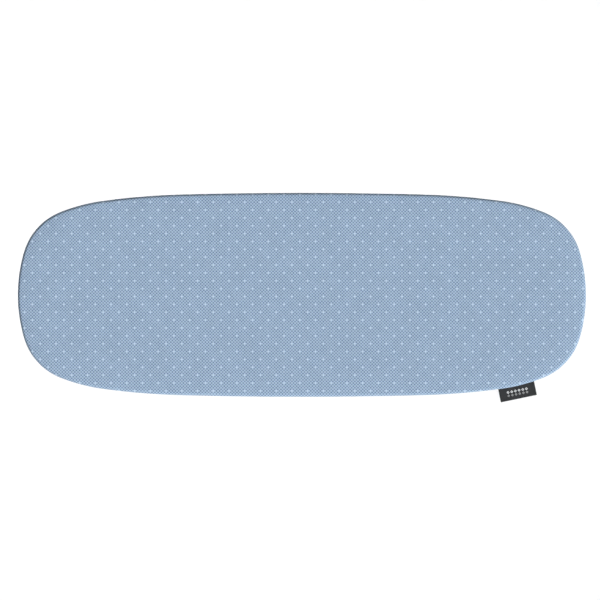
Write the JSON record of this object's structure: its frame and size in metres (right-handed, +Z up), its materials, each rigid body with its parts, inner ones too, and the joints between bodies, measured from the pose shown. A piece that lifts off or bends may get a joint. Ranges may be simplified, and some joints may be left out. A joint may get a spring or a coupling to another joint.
{
  "type": "table-top ironing board",
  "caption": "Table-top ironing board: padded, cloth-covered top with round ends on folding tube legs, with slide catches that hold the legs flat for storage.",
  "frame": {"origin": "on the surface that the feet stand on, under the middle of the board, with the legs open", "axes": "+X along the board towards the end with the side label, +Z up, +Y across the board away from the side label"},
  "size_m": [0.831, 0.3067, 0.18],
  "materials": {
    "cover_cloth": "woven cotton, blue-grey with a fine dotted lattice",
    "foam": "open-cell foam",
    "felt": "needled felt",
    "elastic": "braided elastic",
    "label_ribbon": "woven satin ribbon, charcoal",
    "deck_steel": "light grey powder coat",
    "rim_steel": "light grey powder coat",
    "frame_steel": "light grey powder coat",
    "leg_steel": "silver powder coat",
    "zinc_steel": "bright zinc plate",
    "nylon_white": "moulded nylon",
    "plastic_dark": "moulded, fine texture",
    "rubber": "soft matt rubber"
  },
  "bodies": {
    "board": {"cover": "cover_cloth", "foam_pad": "foam", "felt_underlay": "felt", "hem_elastic": "elastic", "side_label": "label_ribbon", "deck_panel": "deck_steel", "rim_channel": "rim_steel", "spine_channel": "frame_steel", "cross_rail_left": "frame_steel", "cross_rail_right": "frame_steel", "bracket_rivets": "zinc_steel", "stop_pads": "rubber", "catch_screws": "zinc_steel", "catch_washers": "nylon_white", "leg_bracket_left_front": "frame_steel", "leg_bracket_left_back": "frame_steel", "pivot_pins_left": "zinc_steel", "leg_bracket_right_front": "frame_steel", "leg_bracket_right_back": "frame_steel", "pivot_pins_right": "zinc_steel"},
    "leg_left": {"leg_tube_left": "leg_steel", "leg_brace_left": "leg_steel", "pivot_bushes_left": "nylon_white", "friction_washers_left": "nylon_white", "leg_plugs_left": "plastic_dark", "foot_left_front": "rubber", "foot_left_back": "rubber"},
    "catch_left": {"storage_catch_left": "plastic_dark"},
    "leg_right": {"leg_tube_right": "leg_steel", "leg_brace_right": "leg_steel", "pivot_bushes_right": "nylon_white", "friction_washers_right": "nylon_white", "leg_plugs_right": "plastic_dark", "foot_right_front": "rubber", "foot_right_back": "rubber"},
    "catch_right": {"storage_catch_right": "plastic_dark"}
  },
  "joints": [
    {"name": "leg_left_fold", "type": "hinge", "parent": "board", "child": "leg_left", "pos_m": [-0.285, 0, 0.153], "axis": [0, -1, 0], "range_deg": [0, 102]},
    {"name": "catch_left_slide", "type": "slide", "parent": "board", "child": "catch_left", "axis": [-1, 0, 0], "range_m": [0, 0.016]},
    {"name": "leg_right_fold", "type": "hinge", "parent": "board", "child": "leg_right", "pos_m": [0.285, 0, 0.153], "axis": [0, 1, 0], "range_deg": [0, 102]},
    {"name": "catch_right_slide", "type": "slide", "parent": "board", "child": "catch_right", "axis": [1, 0, 0], "range_m": [0, 0.016]}
  ]
}
